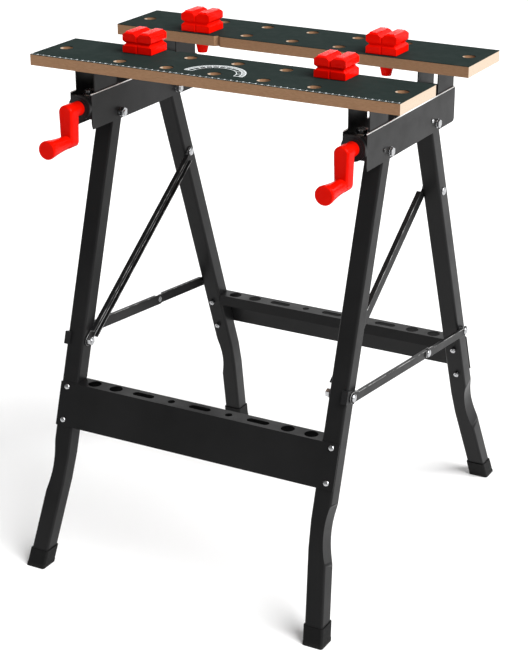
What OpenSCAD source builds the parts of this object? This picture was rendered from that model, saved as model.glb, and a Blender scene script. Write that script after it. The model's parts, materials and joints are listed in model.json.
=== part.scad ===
// Folding sawhorse bench with two clamping jaws on a folding steel frame.
// Millimetres. +X runs along the jaws to the right, -Y is the crank side, +Z is up.

/* [Worktop] */
// Length of each jaw, left to right
jaw_length = 605; // [560:1:640]
// Width of each jaw, front to back
jaw_width = 120; // [110:1:130]
// Thickness of each jaw
jaw_thick = 17; // [15:1:20]
// Opening between the jaws at rest
jaw_gap = 118; // [110:1:120]
// Height of the working surface
bench_height = 790; // [780:1:800]
// Diameter of the peg holes
peg_hole = 20; // [19:0.5:21]
// Spacing of the peg holes along the jaw
peg_pitch = 80; // [70:1:84]

/* [Legs] */
// Width of the leg tube, left to right
leg_width = 29.3; // [28:0.1:30]
// Depth of the leg tube on a level cut
leg_depth = 29.3; // [28:0.1:30]
// Wall of the leg tube
tube_wall = 1.5; // [1:0.1:2]
// Distance of a leg tube from the middle plane
leg_offset = 227.4; // [227:0.1:228]
// Distance of a foot from the middle plane, left to right
foot_offset = 246; // [235:0.1:250]
// Distance of a foot from the middle plane, front to back
foot_reach = 317.1; // [310:0.1:325]
// Height of the rubber foot
foot_height = 28; // [20:1:35]

/* [Clamps] */
// Width of the clamp channel over its walls
channel_width = 38; // [37:0.1:39]
// Wall of the clamp channel
channel_wall = 1.6; // [1.2:0.1:2]
// Radius of the lead screw
screw_radius = 5; // [4:0.1:5]
// Length of the crank arm between its two axes
crank_throw = 44; // [35:1:44]
// Width of a peg head
peg_width = 50; // [40:1:52]
// Height of a peg head
peg_height = 31; // [24:1:34]

/* [Trays] */
// Thickness of the tray sheet
tray_sheet = 1.2; // [1:0.1:2]
// Height of the top of both trays
tray_top = 288; // [280:1:295]
// Depth of the tray shelf
tray_shelf = 28; // [25:1:30]
// Height of the lip along the inner edge of the shelf
tray_lip = 18; // [12:1:24]

/* [Hidden] */
$fn = 72;
gap_middle = -22.3;
channel_offset = 227;
channel_low = 681;
channel_high = 735;
channel_front = -182.3;
channel_rear = 125.7;
screw_height = 713.7;
board_low = bench_height - jaw_thick;
laminate = 1;
front_jaw_middle = gap_middle - jaw_gap / 2 - jaw_width / 2;
rear_jaw_middle = gap_middle + jaw_gap / 2 + jaw_width / 2;
peg_row = 34.25;
peg_end = 278;
front_peg_y = front_jaw_middle + peg_row;
rear_peg_y = rear_jaw_middle - peg_row;

// pivots of the folding frame as [y, z]
top_front = [-104.3, 691];
top_rear = [61.7, 692];
strut_front = [-210.3, 350];
strut_rear = [104.7, 574];
stay_mid = [54.5, 323.2];
stay_end = [205.7, 308];
bolt_radius = 4;
run_fit = 0.05;
bend_low = 135;
bend_high = 175;
dent_height = 162;
dent_depth = 6;
dent_radius = 150;
front_slope = (top_front[0] + foot_reach) / top_front[1];
rear_slope = -0.3736;

leg_out = leg_offset + leg_width / 2;
leg_in = leg_offset - leg_width / 2;
channel_out = channel_offset + channel_width / 2;
channel_in = channel_offset - channel_width / 2;
guard = 2.4;
stay_plane = leg_out + guard + 0.35;
strut_plane = leg_in - 0.65;
sheet = 1.6;
nut_y = -159.3;
collar_front = channel_front - 5.7;
arm_rear = -206;
arm_front = -226;
grip_end = -276.3;
grip_height = screw_height - crank_throw;

function front_leg_y(z) = top_front[0] - front_slope * (top_front[1] - z);
function rear_bend_y() = top_rear[0] - rear_slope * (top_rear[1] - bend_high);
function rear_leg_y(z) = z >= bend_high
    ? top_rear[0] - rear_slope * (top_rear[1] - z)
    : foot_reach + (rear_bend_y() - foot_reach) * z / bend_high;
function splay_x(z) = z >= bend_high ? leg_offset
    : z >= bend_low ? leg_offset + (foot_offset - leg_offset) / 7.75 * (bend_high - z) / 40
    : foot_offset + (leg_offset + (foot_offset - leg_offset) / 7.75 - foot_offset) * z / bend_low;
function leg_point(front, z) = [splay_x(z), front ? front_leg_y(z) : rear_leg_y(z), z];

// everything is drawn for the right side; the left side is its mirror image
module side(s) {
    if (s > 0) children();
    else mirror([1, 0, 0]) children();
}

module at(p) {
    translate([0, p[0], p[1]]) children();
}

// children stand in the frame of a link that runs from p along +Y to q
module along(p, q) {
    at(p) rotate([atan2(q[1] - p[1], q[0] - p[0]), 0, 0]) children();
}

module x_rod(x0, x1, r) {
    translate([x0, 0, 0]) rotate([0, 90, 0]) cylinder(h = x1 - x0, r = r);
}

module y_rod(y0, y1, r) {
    translate([0, y0, 0]) rotate([-90, 0, 0]) cylinder(h = y1 - y0, r = r);
}

// hexagon with its axis along X
module x_hex(x0, x1, across) {
    translate([x0, 0, 0]) rotate([0, 90, 0]) cylinder(h = x1 - x0, r = across / sqrt(3), $fn = 6);
}

// domed head with its flat side at x0, rising towards x0 + rise
module x_dome(x0, rise, r) {
    turn = rise > 0 ? 90 : -90;
    translate([x0, 0, 0]) rotate([0, turn, 0]) rotate_extrude() dome_outline(abs(rise), r);
}

module dome_outline(rise, r) {
    polygon([[0, 0], [r, 0], [r, rise * 0.35], [r * 0.87, rise * 0.7], [r * 0.6, rise * 0.92], [0, rise]]);
}

// level cross-section swept between two centre points
module slanted(from, to) {
    rise = to[2] - from[2];
    multmatrix([[1, 0, (to[0] - from[0]) / rise, from[0]],
                [0, 1, (to[1] - from[1]) / rise, from[1]],
                [0, 0, 1, from[2]],
                [0, 0, 0, 1]])
        linear_extrude(height = rise) children();
}

module tube_outline(inset) {
    offset(r = 4 - inset, $fn = 24) square([leg_width - 8, leg_depth - 8], center = true);
}

// the leg's outer or inner skin from the foot to its upper end
module leg_skin(front, low, high, inset) {
    heights = [low, bend_low, bend_high, high];
    for (i = [0:2])
        slanted(leg_point(front, heights[i]), leg_point(front, heights[i + 1])) tube_outline(inset);
}

// long shallow dent in the leg's outer face, where the tube is bent
module bend_dent(front, grow) {
    slope = front ? front_slope : rear_slope;
    centre = leg_point(front, dent_height);
    translate([leg_offset + leg_width / 2 - dent_depth + dent_radius + 1, centre[1], dent_height])
        rotate([-atan(slope), 0, 0])
            y_rod(-60, 60, dent_radius + grow, $fn = 180);
}

module leg(front) {
    pivot = front ? top_front : top_rear;
    slope = front ? front_slope : rear_slope;
    lean = -atan(slope);
    half = leg_depth / 2 * cos(lean);
    intersection() {
        difference() {
            leg_skin(front, 3.2, pivot[1] + 20, 0);
            bend_dent(front, 0);
            difference() {
                leg_skin(front, 3, pivot[1] + 21, tube_wall);
                bend_dent(front, tube_wall);
            }
            for (p = [pivot, front ? strut_front : strut_rear])
                at(p) x_rod(leg_in - 1, leg_out + 1, bolt_radius + run_fit);
            for (z = [231, 281])
                tray_bolt_axis(front, z) y_rod(-40, 40, 2.6);
        }
        union() {
            at(pivot) x_rod(leg_in - 1, leg_out + 1, half);
            at(pivot) rotate([lean, 0, 0]) translate([leg_in - 20, -60, -900]) cube([90, 120, 900]);
        }
    }
}

module foot(front) {
    centre = leg_point(front, 0);
    top = leg_point(front, foot_height);
    brim = leg_point(front, 5);
    color([0.07, 0.07, 0.07])
        difference() {
            union() {
                slanted(centre, top) offset(r = 4) square([leg_width - 4.8, leg_depth - 4.8], center = true);
                slanted(centre, brim) offset(r = 4) square([leg_width - 4, leg_depth - 4], center = true);
            }
            slanted(leg_point(front, 3), leg_point(front, foot_height + 1)) tube_outline(-0.1);
        }
}

module front_leg_left() { color([0.10, 0.10, 0.11]) side(-1) leg(true); }
module front_leg_right() { color([0.10, 0.10, 0.11]) side(1) leg(true); }
module rear_leg_left() { color([0.10, 0.10, 0.11]) side(-1) leg(false); }
module rear_leg_right() { color([0.10, 0.10, 0.11]) side(1) leg(false); }
module front_foot_left() { side(-1) foot(true); }
module front_foot_right() { side(1) foot(true); }
module rear_foot_left() { side(-1) foot(false); }
module rear_foot_right() { side(1) foot(false); }

// stands at a tray bolt, with -Y pointing out of the front leg and +Y out of the rear leg
module tray_bolt_axis(front, z) {
    y = front ? front_leg_y(z) - leg_depth / 2 : rear_leg_y(z) + leg_depth / 2;
    translate([leg_offset + 2.5, y, z]) rotate([-atan(front ? front_slope : rear_slope), 0, 0]) children();
}

module tray_slot(x, y) {
    for (s = [-1, 1])
        translate([x + s * 12.5, y, tray_top - 5]) cylinder(h = 10, r = 6);
    translate([x - 12.5, y - 6, tray_top - 5]) cube([25, 12, 10]);
}

// panel outside the legs, shelf between them, and a lip turned down along the shelf's inner edge
// face: +1 looks to the rear, -1 looks to the front
module tray(front, low) {
    face = front ? -1 : 1;
    skin_y = (front ? front_leg_y(tray_top) : rear_leg_y(tray_top)) + face * leg_depth / 2;
    low_y = (front ? front_leg_y(low) : rear_leg_y(low)) + face * leg_depth / 2;
    shelf_y = skin_y - face * (tray_shelf / 2 - tray_sheet / 2);
    lip_y = shelf_y - face * (tray_shelf / 2 - tray_sheet / 2);
    difference() {
        union() {
            slanted([0, low_y + face * tray_sheet / 2, low], [0, skin_y + face * tray_sheet / 2, tray_top])
                square([2 * leg_out, tray_sheet], center = true);
            translate([0, shelf_y, tray_top - tray_sheet / 2])
                cube([2 * leg_in - 0.6, tray_shelf, tray_sheet], center = true);
            translate([0, lip_y, tray_top - tray_lip / 2])
                cube([2 * leg_in - 0.6, tray_sheet, tray_lip], center = true);
        }
        for (s = [-1, 1]) {
            for (x = [150, 189])
                translate([s * x, shelf_y, tray_top - 5]) cylinder(h = 10, r = 10.5);
            translate([s * 50, shelf_y, tray_top - 5]) cylinder(h = 10, r = 5.8);
            tray_slot(s * 100, shelf_y);
            side(s) for (z = [231, 281])
                tray_bolt_axis(front, z) y_rod(-4, 4, 2.6);
        }
        tray_slot(0, shelf_y);
    }
}

module front_tray() { color([0.10, 0.10, 0.11]) tray(true, 222); }
module rear_tray() { color([0.10, 0.10, 0.11]) tray(false, 222); }

// face: -1 has its head on the front, +1 has its head on the rear
module tray_bolt(face) {
    depth = leg_depth * cos(atan(front_slope));
    rotate([0, 0, face > 0 ? 180 : 0]) {
        translate([0, -tray_sheet - 0.05, 0])
            rotate([90, 0, 0]) rotate_extrude() dome_outline(2.6, 4.4);
        y_rod(-tray_sheet - 0.5, depth + 6, 2.5);
        translate([0, depth + 0.3, 0]) rotate([-90, 0, 0])
            difference() {
                cylinder(h = 4, r = 8 / sqrt(3), $fn = 6);
                translate([0, 0, -1]) cylinder(h = 6, r = 2.5);
            }
    }
}

module tray_bolts(front) {
    color([0.72, 0.72, 0.74])
        for (s = [-1, 1], z = [231, 281])
            side(s) tray_bolt_axis(front, z) tray_bolt(front ? -1 : 1);
}

module front_tray_bolts() { tray_bolts(true); }
module rear_tray_bolts() { tray_bolts(false); }

// moulded guard on the front leg's outer corner, under the stay
module corner_guards() {
    lean = -atan(front_slope);
    half = leg_depth / 2 * cos(lean);
    color([0.05, 0.05, 0.05])
        for (s = [-1, 1])
            side(s) at(strut_front) rotate([lean, 0, 0])
                difference() {
                    union() {
                        translate([leg_out + 0.05, -half - guard, -10]) cube([guard, half + guard + 10, 20]);
                        translate([leg_out - 7, -half - guard - 0.8, -10]) cube([7 + guard, guard, 20]);
                    }
                    x_rod(leg_out - 1, leg_out + guard + 1, bolt_radius + run_fit);
                }
}

// bolt shared by the strut and the stay on each front leg
module stay_bolts() {
    color([0.75, 0.75, 0.77])
        for (s = [-1, 1])
            side(s) at(strut_front) {
                x_rod(strut_plane - sheet - 8, stay_plane + sheet + 0.4, bolt_radius);
                x_dome(stay_plane + sheet + 0.35, 3.4, 6);
                difference() {
                    x_hex(strut_plane - sheet - 6.5, strut_plane - sheet - 0.4, 12);
                    x_rod(strut_plane - sheet - 7, strut_plane - sheet, bolt_radius);
                }
            }
}

// flat bar with round ends, standing on its edge from y = 0 to y = length
module bar_web(x0, length, half, tail) {
    translate([x0, -tail, -half]) cube([sheet, length + 2 * tail, 2 * half]);
    for (y = [-tail, length + tail])
        translate([0, y, 0]) x_rod(x0, x0 + sheet, half);
}

module strut() {
    length = norm(strut_rear - strut_front);
    low = strut_plane - sheet;
    color([0.10, 0.10, 0.11])
        along(strut_front, strut_rear)
            difference() {
                union() {
                    bar_web(low, length, 8, 1);
                    for (z = [-8, 8 - sheet])
                        translate([low - 6.4, 13, z]) cube([8, length - 26, sheet]);
                }
                x_rod(low - 1, low + 3, bolt_radius + run_fit);
                translate([0, length, 0]) x_rod(low - 1, low + 3, bolt_radius + run_fit);
            }
}

module strut_rivet() {
    color([0.75, 0.75, 0.77])
        at(strut_rear) {
            x_rod(strut_plane - sheet - 0.5, strut_plane + 0.2, bolt_radius);
            x_dome(strut_plane - sheet - 0.1, -3, 6.5);
        }
}

// front half of the side stay: web with a flange along its upper edge
module stay_front() {
    length = norm(stay_mid - strut_front);
    color([0.10, 0.10, 0.11])
        along(strut_front, stay_mid)
            difference() {
                union() {
                    bar_web(stay_plane, length, 8.5, 1);
                    translate([stay_plane, 10, 6.9]) cube([6, length - 21, sheet]);
                }
                x_rod(stay_plane - 1, stay_plane + 3, bolt_radius + run_fit);
                translate([0, length, 0]) x_rod(stay_plane - 1, stay_plane + 3, bolt_radius + run_fit);
            }
}

module stay_rear() {
    length = norm(stay_end - stay_mid);
    x0 = stay_plane + sheet + 0.4;
    color([0.10, 0.10, 0.11])
        along(stay_mid, stay_end)
            difference() {
                union() {
                    bar_web(x0, length, 8, 0);
                    translate([x0, 13, 6.4]) cube([5.5, length - 24, sheet]);
                }
                x_rod(x0 - 1, x0 + 3, bolt_radius + run_fit);
                translate([0, length, 0]) x_rod(x0 - 1, x0 + 3, bolt_radius + run_fit);
            }
}

module stay_mid_rivet() {
    color([0.75, 0.75, 0.77])
        at(stay_mid) {
            x_rod(stay_plane + 0.05, stay_plane + 2 * sheet + 0.9, bolt_radius);
            x_dome(stay_plane + 2 * sheet + 0.8, 2.8, 6);
        }
}

module stay_end_rivet() {
    x0 = stay_plane + sheet + 0.4;
    color([0.75, 0.75, 0.77])
        at(stay_end) {
            x_rod(leg_out + 0.5, x0 - 0.05, 7);
            x_rod(x0 - 0.1, x0 + sheet + 0.2, bolt_radius);
            x_dome(x0 + sheet + 0.05, 2.8, 6);
        }
}

// bolts through the rear legs, on the pivots of the struts
module strut_end_bolts() {
    color([0.75, 0.75, 0.77])
        for (s = [-1, 1])
            side(s) at(strut_rear) {
                x_rod(leg_in, leg_out + 0.3, bolt_radius);
                x_dome(leg_out + 0.05, 3, 6.5);
            }
}

module strut_left() { side(-1) strut(); }
module strut_right() { side(1) strut(); }
module strut_rivet_left() { side(-1) strut_rivet(); }
module strut_rivet_right() { side(1) strut_rivet(); }
module stay_front_left() { side(-1) stay_front(); }
module stay_front_right() { side(1) stay_front(); }
module stay_rear_left() { side(-1) stay_rear(); }
module stay_rear_right() { side(1) stay_rear(); }
module stay_mid_rivet_left() { side(-1) stay_mid_rivet(); }
module stay_mid_rivet_right() { side(1) stay_mid_rivet(); }
module stay_end_rivet_left() { side(-1) stay_end_rivet(); }
module stay_end_rivet_right() { side(1) stay_end_rivet(); }

// side view of the channel, smaller by inset; its lower rear corner is rounded
module channel_outline(inset) {
    round = 6 - inset;
    low = channel_low + inset;
    rear = channel_rear - inset;
    polygon([[channel_front, channel_high + inset], [channel_front, low + 8], [channel_front + 2.5, low],
             [rear - round, low], [rear, low + round], [rear, channel_high + inset]]);
    translate([rear - round, low + round]) circle(round);
}

// two walls, open at the front, joined by a bent strip that closes the rear end
module channel() {
    color([0.10, 0.10, 0.11])
        difference() {
            union() {
                for (x = [channel_in, channel_out - channel_wall])
                    translate([x, 0, 0]) rotate([90, 0, 90])
                        linear_extrude(height = channel_wall) channel_outline(0);
                translate([channel_in + 0.5, 0, 0]) rotate([90, 0, 90])
                    linear_extrude(height = channel_width - 1) intersection() {
                        difference() {
                            channel_outline(0);
                            channel_outline(channel_wall);
                        }
                        translate([channel_rear - 30, channel_low - 1]) square([40, 60]);
                    }
            }
            for (p = [top_front, top_rear])
                at(p) x_rod(channel_in - 1, channel_out + 1, bolt_radius + run_fit);
            translate([channel_out - 3, channel_front - 1, 704]) cube([4, 7, 9]);
            for (p = [top_front + [-20, 7], top_rear + [-18, 8]])
                at(p) x_rod(channel_out - 3, channel_out + 1, 2.05);
        }
}

module channel_left() { side(-1) channel(); }
module channel_right() { side(1) channel(); }

// hexagon bolt with washers and a nut, clamping across a channel
module pivot_bolt() {
    x_rod(channel_in - 9, channel_out + 2, bolt_radius);
    x_hex(channel_out + 1.3, channel_out + 4.6, 11.5);
    for (x = [channel_in - 1.25, channel_out + 0.05])
        difference() {
            x_rod(x, x + 1.2, 7);
            x_rod(x - 1, x + 3, bolt_radius);
        }
    difference() {
        x_hex(channel_in - 7.5, channel_in - 1.3, 13);
        x_rod(channel_in - 9, channel_in, bolt_radius);
    }
}

module front_pivot_bolts() {
    color([0.75, 0.75, 0.77]) for (s = [-1, 1]) side(s) at(top_front) pivot_bolt();
}
module rear_pivot_bolts() {
    color([0.75, 0.75, 0.77]) for (s = [-1, 1]) side(s) at(top_rear) pivot_bolt();
}

// nylon washers that keep each leg in the middle of its channel
module pivot_washers() {
    color([0.06, 0.06, 0.06])
        for (s = [-1, 1], p = [top_front, top_rear], e = [0, 1])
            side(s) at(p) {
                x0 = e == 0 ? channel_in + channel_wall + 0.05 : leg_out + 0.4;
                x1 = e == 0 ? leg_in - 0.4 : channel_out - channel_wall - 0.05;
                difference() {
                    x_rod(x0, x1, 8);
                    x_rod(x0 - 1, x1 + 1, bolt_radius + run_fit);
                }
            }
}

module stop_rivets() {
    color([0.6, 0.6, 0.62])
        for (s = [-1, 1], p = [top_front + [-20, 7], top_rear + [-18, 8]])
            side(s) at(p) {
                x_rod(channel_out - channel_wall, channel_out + 0.2, 2);
                x_dome(channel_out + 0.05, 1.8, 3.2);
            }
}

// bearing plug in the open front end of a channel: round flange, square body between the walls
module collar() {
    body = channel_width / 2 - channel_wall - 0.05;
    color([0.05, 0.05, 0.05])
        translate([channel_offset, 0, screw_height])
            difference() {
                union() {
                    y_rod(collar_front, channel_front - 0.05, 19);
                    y_rod(collar_front - 1.5, collar_front + 1, 15);
                    translate([-body, channel_front - 1, -17]) cube([2 * body, 5, 34]);
                    translate([14, channel_front - 4, -9.6]) cube([4.95, 9.8, 8.8]);
                }
                y_rod(collar_front - 3, channel_front + 8, screw_radius + run_fit);
            }
}

module collar_left() { side(-1) collar(); }
module collar_right() { side(1) collar(); }

// inverted U bracket that carries a jaw and stands inside a channel
module riser(y0, y1) {
    left = channel_in + channel_wall + 0.4;
    right = channel_out - channel_wall - 0.4;
    for (x = [left, right - sheet])
        translate([x, y0, 708]) cube([sheet, y1 - y0, board_low - 708]);
    translate([left, y0, board_low - sheet]) cube([right - left, y1 - y0, sheet]);
}

module front_riser() {
    color([0.10, 0.10, 0.11])
        difference() {
            union() {
                riser(-170.3, -110.3);
                translate([channel_in + 3, -170.3, 723]) cube([channel_width - 6, 22, sheet]);
            }
            translate([channel_offset, nut_y, 700]) cylinder(h = 50, r = 8.05);
            for (y = [-158, -122])
                translate([channel_offset, y, 760]) cylinder(h = 20, r = 2.3);
        }
}

module rear_riser() {
    color([0.10, 0.10, 0.11])
        difference() {
            riser(64, 123.5);
            for (y = [76, 112])
                translate([channel_offset, y, 760]) cylinder(h = 20, r = 2.3);
        }
}

module front_riser_left() { side(-1) front_riser(); }
module front_riser_right() { side(1) front_riser(); }
module rear_riser_left() { side(-1) rear_riser(); }
module rear_riser_right() { side(1) rear_riser(); }

module riser_screws(ys) {
    color([0.72, 0.72, 0.74])
        for (s = [-1, 1], y = ys)
            side(s) translate([channel_offset, y, 0]) {
                translate([0, 0, board_low - sheet - 2]) cylinder(h = 14, r = 2);
                translate([0, 0, board_low - sheet - 0.05]) mirror([0, 0, 1])
                    rotate_extrude() dome_outline(2.6, 4.4);
            }
}

module front_riser_screws() { riser_screws([-158, -122]); }
module rear_riser_screws() { riser_screws([76, 112]); }

module jaw_board(middle, face) {
    color([0.56, 0.43, 0.33])
        difference() {
            translate([-jaw_length / 2, middle - jaw_width / 2, board_low])
                cube([jaw_length, jaw_width, jaw_thick - laminate]);
            jaw_cuts(middle, face);
        }
}

module jaw_laminate(middle, face) {
    color([0.13, 0.17, 0.16])
        difference() {
            translate([-jaw_length / 2, middle - jaw_width / 2, bench_height - laminate])
                cube([jaw_length, jaw_width, laminate]);
            jaw_cuts(middle, face);
        }
}

// peg holes, and one small V in the clamping edge at each side
module jaw_cuts(middle, face) {
    for (x = [-2:2], y = [-1, 1])
        translate([x * peg_pitch, middle + y * peg_row, board_low - 1])
            cylinder(h = jaw_thick + 2, d = peg_hole);
    for (s = [-1, 1]) {
        translate([s * peg_end, middle, board_low - 1]) cylinder(h = jaw_thick + 2, d = peg_hole);
        translate([s * 118.6, middle + face * jaw_width / 2, board_low - 1])
            rotate(45) translate([-4, -4, 0]) cube([8, 8, jaw_thick + 2]);
    }
}

module front_jaw_board() { jaw_board(front_jaw_middle, 1); }
module front_jaw_laminate() { jaw_laminate(front_jaw_middle, 1); }
module rear_jaw_board() { jaw_board(rear_jaw_middle, -1); }
module rear_jaw_laminate() { jaw_laminate(rear_jaw_middle, -1); }

// upright barrel nuts that the lead screws turn in
module barrel_nuts() {
    color([0.75, 0.75, 0.77])
        for (s = [-1, 1])
            side(s) translate([channel_offset, nut_y, 0])
                difference() {
                    union() {
                        translate([0, 0, 706.5]) cylinder(h = 29, r = 8);
                        translate([0, 0, 724.65]) cylinder(h = 4, r = 10);
                    }
                    translate([0, 0, screw_height]) y_rod(-12, 12, screw_radius + run_fit);
                }
}

// the arm's outline at one end, with its front and rear edges eased
module arm_end(height, r) {
    translate([0, 0, height]) {
        y_rod(arm_front, arm_rear - 1, r - 3);
        y_rod(arm_front + 1, arm_rear, r - 1.2);
        y_rod(arm_front + 3, arm_rear - 1.2, r);
    }
}

// one red moulding: hub, tapered arm and a grip that flares towards its free end
module crank() {
    reach = arm_front - grip_end;
    color([0.90, 0.08, 0.06])
        translate([channel_offset, 0, 0])
            difference() {
                union() {
                    translate([0, 0, screw_height]) y_rod(arm_rear - 3, collar_front - 1.9, 11);
                    hull() {
                        arm_end(screw_height, 12);
                        arm_end(grip_height, 10.6);
                    }
                    translate([0, arm_front, grip_height]) rotate([90, 0, 0]) rotate_extrude()
                        polygon([[0, -3], [10.4, -3], [10.4, 3], [10.7, 12], [11.4, 22], [12.6, 33],
                                 [13.8, 42], [14.3, reach - 3], [14, reach - 1], [13, reach], [0, reach]]);
                }
                translate([0, 0, screw_height]) y_rod(arm_rear - 12, collar_front, screw_radius + run_fit);
            }
}

module crank_left() { side(-1) crank(); }
module crank_right() { side(1) crank(); }

module lead_screw() {
    color([0.7, 0.7, 0.72])
        translate([channel_offset, 0, screw_height]) {
            y_rod(arm_rear - 11.5, -26, screw_radius);
            y_rod(channel_front + 4.5, channel_front + 6.5, 9);
        }
}

module lead_screw_left() { side(-1) lead_screw(); }
module lead_screw_right() { side(1) lead_screw(); }

// bench peg: notched block with a V across its top, on a round post
module peg(x, y) {
    half = peg_width / 2;
    deep = half - 3;
    top = peg_height;
    color([0.90, 0.08, 0.06])
        translate([x, y, bench_height + 0.3]) {
            difference() {
                intersection() {
                    rotate([90, 0, 0]) linear_extrude(height = 2 * deep, center = true)
                        polygon([[-half + 1, 0], [-half, 1], [-half, 10], [-half + 4.5, 14.5], [-half, 19],
                                 [-half, top - 3.5], [-half + 5, top], [-7, top], [0, top - 6], [7, top],
                                 [half - 5, top], [half, top - 3.5], [half, 19], [half - 4.5, 14.5],
                                 [half, 10], [half, 1], [half - 1, 0]]);
                    rotate([90, 0, 90]) linear_extrude(height = 2 * half, center = true)
                        polygon([[-deep + 1, 0], [-deep, 1], [-deep, 11], [-deep + 3, 14.5], [-deep, 18],
                                 [-deep, top - 1.5], [-deep + 1.5, top], [deep - 1.5, top], [deep, top - 1.5],
                                 [deep, 18], [deep - 3, 14.5], [deep, 11], [deep, 1], [deep - 1, 0]]);
                }
                for (s = [-1, 1])
                    translate([0, s * (deep + 0.4), -1]) rotate(45)
                        translate([-1.6, -1.6, 0]) cube([3.2, 3.2, top + 2]);
            }
            translate([0, 0, -24]) cylinder(h = 24.5, r = peg_hole / 2 - run_fit);
            translate([0, 0, -35]) cylinder(h = 11.01, r1 = 7.5, r2 = peg_hole / 2 - run_fit);
        }
}

module peg_front_left() { peg(-2 * peg_pitch, front_peg_y); }
module peg_front_right() { peg(2 * peg_pitch, front_peg_y); }
module peg_rear_left() { peg(-2 * peg_pitch, rear_peg_y); }
module peg_rear_right() { peg(2 * peg_pitch, rear_peg_y); }

front_leg_left();
front_leg_right();
rear_leg_left();
rear_leg_right();
front_foot_left();
front_foot_right();
rear_foot_left();
rear_foot_right();
front_tray();
rear_tray();
front_tray_bolts();
rear_tray_bolts();
corner_guards();
stay_bolts();
strut_end_bolts();
strut_left();
strut_right();
strut_rivet_left();
strut_rivet_right();
stay_front_left();
stay_front_right();
stay_rear_left();
stay_rear_right();
stay_mid_rivet_left();
stay_mid_rivet_right();
stay_end_rivet_left();
stay_end_rivet_right();
channel_left();
channel_right();
front_pivot_bolts();
rear_pivot_bolts();
pivot_washers();
stop_rivets();
collar_left();
collar_right();
front_riser_left();
front_riser_right();
rear_riser_left();
rear_riser_right();
front_riser_screws();
rear_riser_screws();
front_jaw_board();
front_jaw_laminate();
rear_jaw_board();
rear_jaw_laminate();
barrel_nuts();
crank_left();
crank_right();
lead_screw_left();
lead_screw_right();
peg_front_left();
peg_front_right();
peg_rear_left();
peg_rear_right();
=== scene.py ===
import json
import math

import bmesh
import bpy
from mathutils import Matrix, Vector


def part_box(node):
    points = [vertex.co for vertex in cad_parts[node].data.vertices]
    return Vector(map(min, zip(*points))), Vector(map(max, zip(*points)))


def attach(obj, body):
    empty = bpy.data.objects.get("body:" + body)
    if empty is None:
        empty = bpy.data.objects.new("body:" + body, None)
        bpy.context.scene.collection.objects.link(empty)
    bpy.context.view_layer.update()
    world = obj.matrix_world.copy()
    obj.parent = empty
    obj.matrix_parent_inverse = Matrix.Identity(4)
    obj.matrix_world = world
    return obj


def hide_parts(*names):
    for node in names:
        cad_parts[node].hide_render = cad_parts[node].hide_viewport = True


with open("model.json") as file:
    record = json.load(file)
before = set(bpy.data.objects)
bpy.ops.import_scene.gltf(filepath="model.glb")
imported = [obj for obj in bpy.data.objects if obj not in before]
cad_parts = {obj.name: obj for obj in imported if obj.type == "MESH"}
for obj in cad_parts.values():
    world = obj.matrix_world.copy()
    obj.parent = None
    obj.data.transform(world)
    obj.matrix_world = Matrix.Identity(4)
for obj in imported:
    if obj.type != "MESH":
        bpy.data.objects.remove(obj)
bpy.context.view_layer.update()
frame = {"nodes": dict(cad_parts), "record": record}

MM = 0.001
PRINT_FILM = 0.06 * MM
SMOOTH_BELOW = math.radians(32)
ROUND_ABOVE = math.radians(35)
SIDES = {"left": -1, "right": 1}
ROWS = ("front", "rear")


# ---------------------------------------------------------------- materials

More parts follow.
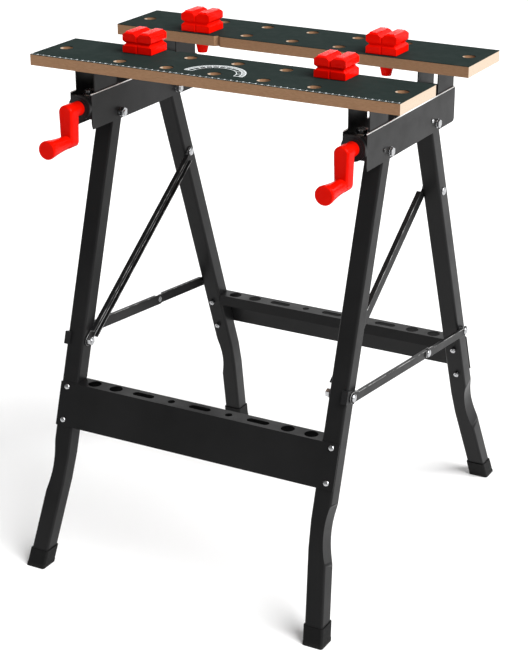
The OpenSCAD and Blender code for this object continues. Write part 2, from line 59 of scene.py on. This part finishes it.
class Finish:
    """A material with its shader, its object coordinates and short calls for the usual nodes."""

    def __init__(self, name, **sockets):
        self.material = bpy.data.materials.new(name)
        self.material.use_nodes = True
        self.nodes = self.material.node_tree.nodes
        self.links = self.material.node_tree.links
        self.shader = self.nodes["Principled BSDF"]
        for socket, value in sockets.items():
            self.shader.inputs[socket.replace("_", " ")].default_value = value
        self.place = self.nodes.new("ShaderNodeTexCoord").outputs["Object"]

    def stretched(self, scale, turn=(0, 0, 0)):
        mapping = self.nodes.new("ShaderNodeMapping")
        mapping.inputs["Scale"].default_value = scale
        mapping.inputs["Rotation"].default_value = turn
        self.links.new(self.place, mapping.inputs["Vector"])
        return mapping.outputs["Vector"]

    def noise(self, scale, detail=2.0, roughness=0.5, place=None):
        node = self.nodes.new("ShaderNodeTexNoise")
        node.inputs["Scale"].default_value = scale
        node.inputs["Detail"].default_value = detail
        node.inputs["Roughness"].default_value = roughness
        self.links.new(place or self.place, node.inputs["Vector"])
        return node.outputs["Fac"]

    def wave(self, scale, direction, place=None, distortion=0.0):
        node = self.nodes.new("ShaderNodeTexWave")
        node.bands_direction = direction
        node.inputs["Scale"].default_value = scale
        node.inputs["Distortion"].default_value = distortion
        self.links.new(place or self.place, node.inputs["Vector"])
        return node.outputs["Fac"]

    def ramp(self, value, *stops):
        node = self.nodes.new("ShaderNodeValToRGB")
        ramp = node.color_ramp
        ramp.elements[0].position, ramp.elements[0].color = stops[0][0], (*stops[0][1], 1)
        ramp.elements[1].position, ramp.elements[1].color = stops[-1][0], (*stops[-1][1], 1)
        for position, colour in stops[1:-1]:
            ramp.elements.new(position).color = (*colour, 1)
        self.links.new(value, node.inputs["Fac"])
        return node.outputs["Color"]

    def span(self, value, low, high, to_low=0.0, to_high=1.0):
        node = self.nodes.new("ShaderNodeMapRange")
        node.inputs["From Min"].default_value = low
        node.inputs["From Max"].default_value = high
        node.inputs["To Min"].default_value = to_low
        node.inputs["To Max"].default_value = to_high
        self.links.new(value, node.inputs["Value"])
        return node.outputs["Result"]

    def maths(self, operation, first, second):
        node = self.nodes.new("ShaderNodeMath")
        node.operation = operation
        for socket, value in zip(node.inputs, (first, second)):
            if isinstance(value, (int, float)):
                socket.default_value = value
            else:
                self.links.new(value, socket)
        return node.outputs["Value"]

    def mix(self, fac, first, second):
        node = self.nodes.new("ShaderNodeMix")
        node.data_type = "RGBA"
        self.links.new(fac, node.inputs["Factor"])
        for socket, value in (("A", first), ("B", second)):
            target = [i for i in node.inputs if i.name == socket and i.type == "RGBA"][0]
            if isinstance(value, tuple):
                target.default_value = (*value, 1)
            else:
                self.links.new(value, target)
        return [o for o in node.outputs if o.type == "RGBA"][0]

    def axis(self, letter):
        node = self.nodes.new("ShaderNodeSeparateXYZ")
        self.links.new(self.place, node.inputs["Vector"])
        return node.outputs[letter]

    def normal_axis(self, letter):
        geometry = self.nodes.new("ShaderNodeNewGeometry")
        node = self.nodes.new("ShaderNodeSeparateXYZ")
        self.links.new(geometry.outputs["Normal"], node.inputs["Vector"])
        return node.outputs[letter]

    def colour(self, value):
        self.links.new(value, self.shader.inputs["Base Color"])

    def rough(self, value):
        self.links.new(value, self.shader.inputs["Roughness"])

    def metal(self, value):
        self.links.new(value, self.shader.inputs["Metallic"])

    def bump(self, height, strength, distance):
        node = self.nodes.new("ShaderNodeBump")
        node.inputs["Strength"].default_value = strength
        node.inputs["Distance"].default_value = distance
        self.links.new(height, node.inputs["Height"])
        self.links.new(node.outputs["Normal"], self.shader.inputs["Normal"])


def satin_black(name, pale_edge_height=None):
    """Baked black paint: faint orange peel, cloudy patches, and a pale strip along a cut upper edge,
    partly bare steel and partly a painted highlight.
    """
    finish = Finish(name, Specular_IOR_Level=0.12)
    clouds = finish.noise(9, 3)
    paint = finish.ramp(clouds, (0.3, (0.0075, 0.0075, 0.0077)), (0.7, (0.0110, 0.0110, 0.0113)))
    gloss = finish.span(finish.noise(40, 4), 0.3, 0.7, 0.30, 0.40)
    if pale_edge_height is None:
        finish.colour(paint)
    else:
        # Pale strip just below the upper edge, broken up by chips: bare steel plus a painted highlight.
        bare = finish.span(finish.axis("Z"), pale_edge_height - 1.1 * MM, pale_edge_height - 0.8 * MM)
        chips = finish.span(finish.noise(160, 3), 0.26, 0.32)
        bare = finish.maths("MULTIPLY", bare, chips)
        finish.colour(finish.mix(bare, paint, (0.90, 0.90, 0.90)))
    finish.rough(gloss)
    finish.bump(finish.noise(700, 2), 0.08, 0.2 * MM)
    return finish.material


def painted_edge_highlight():
    """Painted highlight along a folded edge: pale grey in noisy patches on the black paint."""
    finish = Finish("painted_edge_highlight", Specular_IOR_Level=0.3)
    # Patches of painted highlight, not bare steel.
    highlight_patches = finish.span(finish.noise(60, 4), 0.44, 0.62)
    finish.colour(finish.mix(highlight_patches, (0.02, 0.02, 0.02), (0.38, 0.38, 0.38)))
    finish.rough(finish.span(highlight_patches, 0.0, 1.0, 0.30, 0.42))
    return finish.material


def bright_zinc():
    finish = Finish("bright_zinc", Metallic=1.0)
    streaks = finish.noise(300, 4, place=finish.stretched((1, 1, 6)))
    finish.colour(finish.ramp(streaks, (0.3, (0.34, 0.35, 0.37)), (0.7, (0.56, 0.56, 0.56))))
    finish.rough(finish.span(finish.noise(500, 3), 0.3, 0.7, 0.20, 0.32))
    finish.bump(finish.noise(1500, 2), 0.1, 0.05 * MM)
    return finish.material


def rivet_finish(change_over):
    """Black heads in front of the change-over, bare zinc behind it."""
    finish = Finish("rivet_finish")
    behind = finish.maths("GREATER_THAN", finish.axis("Y"), change_over)
    bare = finish.ramp(finish.noise(300, 3), (0.3, (0.34, 0.35, 0.37)), (0.7, (0.56, 0.56, 0.56)))
    finish.colour(finish.mix(behind, (0.010, 0.010, 0.010), bare))
    finish.metal(behind)
    finish.rough(finish.span(finish.noise(500, 3), 0.3, 0.7, 0.24, 0.34))
    return finish.material


def turned_steel():
    finish = Finish("oiled_steel", Metallic=1.0)
    rings = finish.noise(700, 3, place=finish.stretched((0.3, 4, 0.3)))
    finish.colour(finish.ramp(rings, (0.3, (0.42, 0.42, 0.43)), (0.7, (0.66, 0.65, 0.64))))
    finish.rough(finish.span(rings, 0.3, 0.7, 0.22, 0.38))
    finish.bump(rings, 0.15, 0.05 * MM)
    return finish.material


def red_moulding(name, brightness, gloss, knurled=False):
    """Bright red nylon; the pegs have a fine crossed knurl on their upright faces."""
    finish = Finish(name, Specular_IOR_Level=gloss)
    clouds = finish.noise(45, 3)
    low, high = (brightness * 0.95, 0.0034, 0.0006), (brightness * 1.05, 0.0050, 0.0010)
    finish.colour(finish.ramp(clouds, (0.3, low), (0.7, high)))
    finish.rough(finish.span(finish.noise(160, 4), 0.3, 0.7, 0.14, 0.22))
    if knurled:
        turn, fineness = math.radians(52), 115
        one = finish.wave(fineness, "X", finish.stretched((1, 1, 1), (0, turn, 0)))
        two = finish.wave(fineness, "X", finish.stretched((1, 1, 1), (0, -turn, 0)))
        cross = finish.maths("MULTIPLY", one, two)
        upright = finish.maths("SUBTRACT", 1.0, finish.maths("ABSOLUTE", finish.normal_axis("Z"), 0.0))
        upright = finish.span(upright, 0.9, 1.0)
        finish.bump(finish.maths("MULTIPLY", cross, upright), 0.25, 0.25 * MM)
    else:
        finish.bump(finish.noise(900, 2), 0.04, 0.1 * MM)
    return finish.material


def black_moulding():
    finish = Finish("black_moulding", Specular_IOR_Level=0.2)
    clouds = finish.noise(60, 3)
    finish.colour(finish.ramp(clouds, (0.3, (0.007, 0.007, 0.0075)), (0.7, (0.012, 0.012, 0.0125))))
    finish.rough(finish.span(finish.noise(220, 3), 0.3, 0.7, 0.36, 0.50))
    finish.bump(finish.noise(1500, 2), 0.15, 0.1 * MM)
    return finish.material


def foot_rubber():
    finish = Finish("foot_rubber", Specular_IOR_Level=0.12)
    dusty_height = 8 * MM
    dust = finish.span(finish.axis("Z"), 0.0, dusty_height, 0.5, 0.0)
    dust = finish.maths("MULTIPLY", dust, finish.noise(180, 4))
    finish.colour(finish.mix(dust, (0.005, 0.005, 0.005), (0.030, 0.028, 0.026)))
    finish.rough(finish.span(finish.noise(300, 3), 0.3, 0.7, 0.55, 0.7))
    finish.bump(finish.noise(1800, 3), 0.3, 0.15 * MM)
    return finish.material


def cut_fibreboard():
    """Sawn fibreboard: fine fibres lying along the jaw, darker flecks, and ends painted paler as lit
    faces.
    """
    finish = Finish("cut_fibreboard", Specular_IOR_Level=0.1)
    fibres = finish.noise(520, 5, 0.6, finish.stretched((0.3, 1, 1.6)))
    side = finish.ramp(fibres, (0.3, (0.255, 0.142, 0.076)), (0.7, (0.315, 0.184, 0.104)))
    # End faces get a paler colour: painted light standing in for the lit board ends.
    end = finish.ramp(fibres, (0.3, (0.47, 0.370, 0.280)), (0.7, (0.57, 0.465, 0.365)))
    lit_end_mask = finish.span(finish.maths("ABSOLUTE", finish.normal_axis("X"), 0.0), 0.85, 0.97)
    board = finish.mix(lit_end_mask, side, end)
    flecks = finish.span(finish.noise(1300, 3, 0.7), 0.60, 0.74, 0.0, 0.35)
    finish.colour(finish.mix(flecks, board, (0.17, 0.095, 0.055)))
    finish.rough(finish.span(fibres, 0.3, 0.7, 0.74, 0.88))
    finish.bump(finish.noise(900, 5, 0.7, finish.stretched((0.4, 1, 1))), 0.25, 0.12 * MM)
    return finish.material


def printed_laminate():
    finish = Finish("printed_laminate", Specular_IOR_Level=0.01)
    clouds = finish.noise(7, 4)
    finish.colour(finish.ramp(clouds, (0.3, (0.0145, 0.0235, 0.0215)), (0.7, (0.0195, 0.0295, 0.0270))))
    finish.rough(finish.span(finish.noise(60, 4), 0.3, 0.7, 0.60, 0.72))
    finish.bump(finish.noise(1100, 3), 0.06, 0.08 * MM)
    return finish.material


def white_print():
    finish = Finish("white_print", Specular_IOR_Level=0.2)
    wear = finish.noise(350, 4)
    finish.colour(finish.ramp(wear, (0.25, (0.72, 0.80, 0.81)), (0.5, (0.86, 0.90, 0.91))))
    finish.rough(finish.span(wear, 0.3, 0.7, 0.4, 0.55))
    return finish.material


PAINT = satin_black("satin_black_paint")
# The channel's paint carries a painted highlight along its upper edge.
CHANNEL_PAINT = satin_black("channel_paint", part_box("channel_right")[1].z)
ZINC = bright_zinc()
RIVETS = rivet_finish(sum(corner.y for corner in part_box("channel_right")) / 2)
STEEL = turned_steel()
CRANK_RED = red_moulding("crank_red", 0.62, 0.03)
PEG_RED = red_moulding("peg_red", 0.82, 0.03, True)
# Rib red: the peg red painted lighter as a highlight on the rib tops, and given more gloss.
LIT_RIB_RED = red_moulding("rib_red_painted_lighter", 0.90, 0.45)
MOULDING = black_moulding()
RUBBER = foot_rubber()
EDGE_HIGHLIGHT = painted_edge_highlight()
BOARD = cut_fibreboard()
LAMINATE = printed_laminate()
PRINT = white_print()


# ------------------------------------------------------------------- pieces

def body_with(node):
    for body, members in frame["record"]["behaviour"]["bodies"].items():
        if node in members:
            return body
    raise ValueError(node)


def shade(mesh):
    mesh.shade_smooth()
    mesh.set_sharp_from_angle(angle=SMOOTH_BELOW)


def add_piece(name, form, material, body, slot, *stands_for):
    """A finished piece from a bmesh that already lies in its place."""
    mesh = bpy.data.meshes.new(name)
    bmesh.ops.recalc_face_normals(form, faces=form.faces)
    form.to_mesh(mesh)
    form.free()
    shade(mesh)
    piece = bpy.data.objects.new(name, mesh)
    bpy.context.scene.collection.objects.link(piece)
    mesh.materials.append(material)
    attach(piece, body)
    if stands_for:
        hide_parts(*stands_for)
    return piece


def round_edges(piece, width, segments=2, edge_material=None):
    bevel = piece.modifiers.new("edges", "BEVEL")
    bevel.width = width
    bevel.segments = segments
    bevel.limit_method = "ANGLE"
    bevel.angle_limit = ROUND_ABOVE
    bevel.use_clamp_overlap = True
    if edge_material:
        piece.data.materials.append(edge_material)
        bevel.material = 1


def flatten_shading(piece):
    weighted = piece.modifiers.new("even_faces", "WEIGHTED_NORMAL")
    weighted.keep_sharp = True


def finished_copy(node, material, slot, width=0, segments=2, edge_material=None):
    """The CAD node with its triangles merged into whole faces and its edges broken."""
    form = bmesh.new()
    form.from_mesh(frame["nodes"][node].data)
    bmesh.ops.remove_doubles(form, verts=form.verts, dist=0.002 * MM)
    bmesh.ops.dissolve_limit(form, angle_limit=math.radians(0.4), verts=form.verts, edges=form.edges)
    piece = add_piece(node + "_finished", form, material, body_with(node), slot, node)
    if width:
        round_edges(piece, width, segments, edge_material)
    flatten_shading(piece)


def paint_node(node, material):
    for slot in frame["nodes"][node].material_slots:
        slot.material = material


def add_block(form, low, high):
    """A box between two corners."""
    low, high = Vector(low), Vector(high)
    place = Matrix.Translation((low + high) / 2) @ Matrix.Diagonal((*(high - low), 1))
    bmesh.ops.create_cube(form, size=1, matrix=place)


def grip_ribs(peg):
    """Fine ribs across both halves of a peg's top."""
    low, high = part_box(peg)
    middle = (low + high) / 2
    innermost, pitch, half_width = 8.6 * MM, 2.7 * MM, 0.65 * MM
    inset, sunk, proud = 2 * MM, 0.6 * MM, 1.4 * MM
    form = bmesh.new()
    for half in SIDES.values():
        for rib in range(5):
            x = middle.x + half * (innermost + pitch * rib)
            add_block(form, (x - half_width, low.y + inset, high.z - sunk),
                      (x + half_width, high.y - inset, high.z + proud))
    # The ribs take the lighter red, a painted highlight.
    ribs = add_piece(f"{peg}_ribs", form, LIT_RIB_RED, body_with(peg), "red")
    round_edges(ribs, 0.3 * MM, 2)


def helix(form, start, centre, crest, root, lead, turns, steps=22):
    """One thread start: a blunt ridge carried round the screw's axis along +Y."""
    x, z = centre
    flank = lead * 0.2
    corners = [(x + root, start - flank, z), (x + crest, start - flank * 0.35, z),
               (x + crest, start + flank * 0.35, z), (x + root, start + flank, z)]
    verts = [form.verts.new(corner) for corner in corners]
    profile = form.faces.new(verts)
    bmesh.ops.spin(form, geom=[profile, *profile.edges, *profile.verts], cent=(x, 0, z), axis=(0, 1, 0),
                   dvec=(0, lead / steps, 0), angle=math.tau * turns, steps=int(steps * turns))


def lead_screw(side):
    """Rolled two-start thread on a plain core, with the thrust flange behind the bearing plug."""
    node = f"lead_screw_{side}"
    low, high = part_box(node)
    x, z = (low.x + high.x) / 2, (low.z + high.z) / 2
    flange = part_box(f"channel_{side}")[0].y + 4.5 * MM
    shoulder = flange + 8 * MM
    lengths = ((low.y, shoulder, 5.0), (shoulder, high.y, 4.15), (flange, flange + 2 * MM, 9.0))
    form = bmesh.new()
    for start, end, radius in lengths:
        place = Matrix.Translation((x, (start + end) / 2, z)) @ Matrix.Rotation(math.pi / 2, 4, "X")
        bmesh.ops.create_cone(form, cap_ends=True, segments=36, radius1=radius * MM, radius2=radius * MM,
                              depth=end - start, matrix=place)
    lead, crest, root = 5 * MM, 4.95 * MM, 4.1 * MM
    thread = high.y - flange - 14 * MM
    for shift in (0, lead / 2):
        helix(form, flange + 10 * MM + shift, (x, z), crest, root, lead, thread / lead - 0.5)
    piece = add_piece(f"{node}_thread", form, STEEL, body_with(node), "zinc", node)
    flatten_shading(piece)


def ruler():
    """Printed scale along the front edge of the front jaw: short strokes with a long one every 10 mm."""
    low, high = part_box("front_jaw_laminate")
    first, spacing, margin = low.x + 2.5 * MM, 2 * MM, 0.7 * MM
    form = bmesh.new()
    for stroke in range(301):
        x = first + stroke * spacing
        long_one = stroke % 5 == 0
        half, reach = (0.85 * MM, 4.2 * MM) if long_one else (0.25 * MM, 2.1 * MM)
        add_block(form, (x - half, low.y + margin, high.z),
                  (x + half, low.y + reach, high.z + PRINT_FILM))
    add_piece("ruler_print", form, PRINT, "front_jaw", "laminate")


def protractor():
    """Printed half circles and degree strokes round the middle hole of the front jaw."""
    low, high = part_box("front_jaw_laminate")
    centre = Vector((-2.7 * MM, (low.y + high.y) / 2 - 34.25 * MM, high.z))
    outer_ring, middle_ring, inner_ring = 47.5, 41.5, 34
    form = bmesh.new()
    for radius, width in ((outer_ring, 1.3), (middle_ring, 1.0), (inner_ring, 1.0)):
        inner, outer = (radius - width / 2) * MM, (radius + width / 2) * MM
        corners = [(inner, 0), (outer, 0), (outer, PRINT_FILM), (inner, PRINT_FILM)]
        band = form.faces.new([form.verts.new(centre + Vector((x, 0, z))) for x, z in corners])
        bmesh.ops.spin(form, geom=[band, *band.edges, *band.verts], cent=centre, axis=(0, 0, 1),
                       angle=math.pi, steps=60)
    for degree in range(0, 181, 3):
        inner, half = (inner_ring, 0.6) if degree % 15 == 0 else (middle_ring, 0.45)
        turn = Matrix.Translation(centre) @ Matrix.Rotation(math.radians(degree), 4, "Z")
        place = turn @ Matrix.Translation(((inner + outer_ring) / 2 * MM, 0, PRINT_FILM / 2))
        place = place @ Matrix.Diagonal(((outer_ring - inner) * MM, 2 * half * MM, PRINT_FILM, 1))
        bmesh.ops.create_cube(form, size=1, matrix=place)
    add_piece("protractor_print", form, PRINT, "front_jaw", "laminate")


for side in SIDES:
    for row in ROWS:
        finished_copy(f"{row}_leg_{side}", PAINT, "paint")
        finished_copy(f"{row}_foot_{side}", RUBBER, "rubber", 1.0 * MM, 3)
        finished_copy(f"{row}_riser_{side}", PAINT, "paint", 0.35 * MM)
        finished_copy(f"peg_{row}_{side}", PEG_RED, "red", 0.6 * MM, 3)
        grip_ribs(f"peg_{row}_{side}")
    finished_copy(f"channel_{side}", CHANNEL_PAINT, "paint", 0.3 * MM)
    # Struts and stays carry a painted highlight on their bevelled edges.
    finished_copy(f"strut_{side}", PAINT, "paint", 0.35 * MM, 1, EDGE_HIGHLIGHT)
    finished_copy(f"stay_front_{side}", PAINT, "paint", 0.45 * MM, 1, EDGE_HIGHLIGHT)
    finished_copy(f"stay_rear_{side}", PAINT, "paint", 0.45 * MM, 1, EDGE_HIGHLIGHT)
    finished_copy(f"collar_{side}", MOULDING, "black_plastic", 0.8 * MM, 3)
    finished_copy(f"crank_{side}", CRANK_RED, "red", 0.9 * MM, 3)
    lead_screw(side)
for row in ROWS:
    finished_copy(f"{row}_tray", PAINT, "paint", 0.3 * MM)
    finished_copy(f"{row}_jaw_board", BOARD, "board", 0.4 * MM)
    finished_copy(f"{row}_jaw_laminate", LAMINATE, "laminate", 0.25 * MM)
ruler()
protractor()
finished_copy("corner_guards", MOULDING, "black_plastic", 0.5 * MM)
for node in frame["nodes"]:
    slot = next(s["material_slot"] for s in frame["record"]["subparts"] if s["node"] == node)
    if slot == "zinc" and not node.startswith("lead_screw"):
        finished_copy(node, RIVETS if node == "stop_rivets" else ZINC, "zinc", 0.3 * MM)
paint_node("pivot_washers", MOULDING)


# ------------------------------------------------------- stage, light, camera

def floor():
    form = bmesh.new()
    bmesh.ops.create_grid(form, x_segments=8, y_segments=8, size=30)
    mesh = bpy.data.meshes.new("studio_floor")
    form.to_mesh(mesh)
    form.free()
    plane = bpy.data.objects.new("studio_floor", mesh)
    bpy.context.scene.collection.objects.link(plane)
    finish = Finish("studio_floor", Roughness=0.9, Emission_Color=(1, 1, 1, 1), Emission_Strength=0.12)
    finish.colour(finish.ramp(finish.noise(0.8, 2), (0.3, (0.86, 0.86, 0.86)), (0.7, (0.88, 0.88, 0.88))))
    mesh.materials.append(finish.material)


def soft_light(name, place, target, size, power):
    light = bpy.data.lights.new(name, "AREA")
    light.shape = "RECTANGLE"
    light.size, light.size_y = size
    light.energy = power
    lamp = bpy.data.objects.new(name, light)
    bpy.context.scene.collection.objects.link(lamp)
    lamp.location = place
    lamp.rotation_euler = (Vector(target) - Vector(place)).to_track_quat("-Z", "Y").to_euler()


floor()
world = bpy.data.worlds.new("studio")
bpy.context.scene.world = world
world.use_nodes = True
world.node_tree.nodes["Background"].inputs["Color"].default_value = (1, 1, 1, 1)
world.node_tree.nodes["Background"].inputs["Strength"].default_value = 0.24
soft_light("rear_panel", (-0.6, 3.2, 1.7), (0, 0, 0.4), (4.5, 1.7), 30)
key = bpy.data.lights.new("key", "SUN")
key.energy = 5.0
key.angle = math.radians(50)
key_lamp = bpy.data.objects.new("key", key)
bpy.context.scene.collection.objects.link(key_lamp)
key_lamp.rotation_euler = Vector((-0.72, 0.12, -0.68)).to_track_quat("-Z", "Y").to_euler()

lens = bpy.data.cameras.new("camera")
lens.lens = 97.0
lens.sensor_width = 36
camera = bpy.data.objects.new("camera", lens)
bpy.context.scene.collection.objects.link(camera)
camera.location = (1.2549, -2.3251, 1.3982)
camera.rotation_euler = (math.pi / 2 - 0.383, 0, 0.5)
bpy.context.scene.camera = camera
bpy.context.scene.view_settings.view_transform = "Standard"
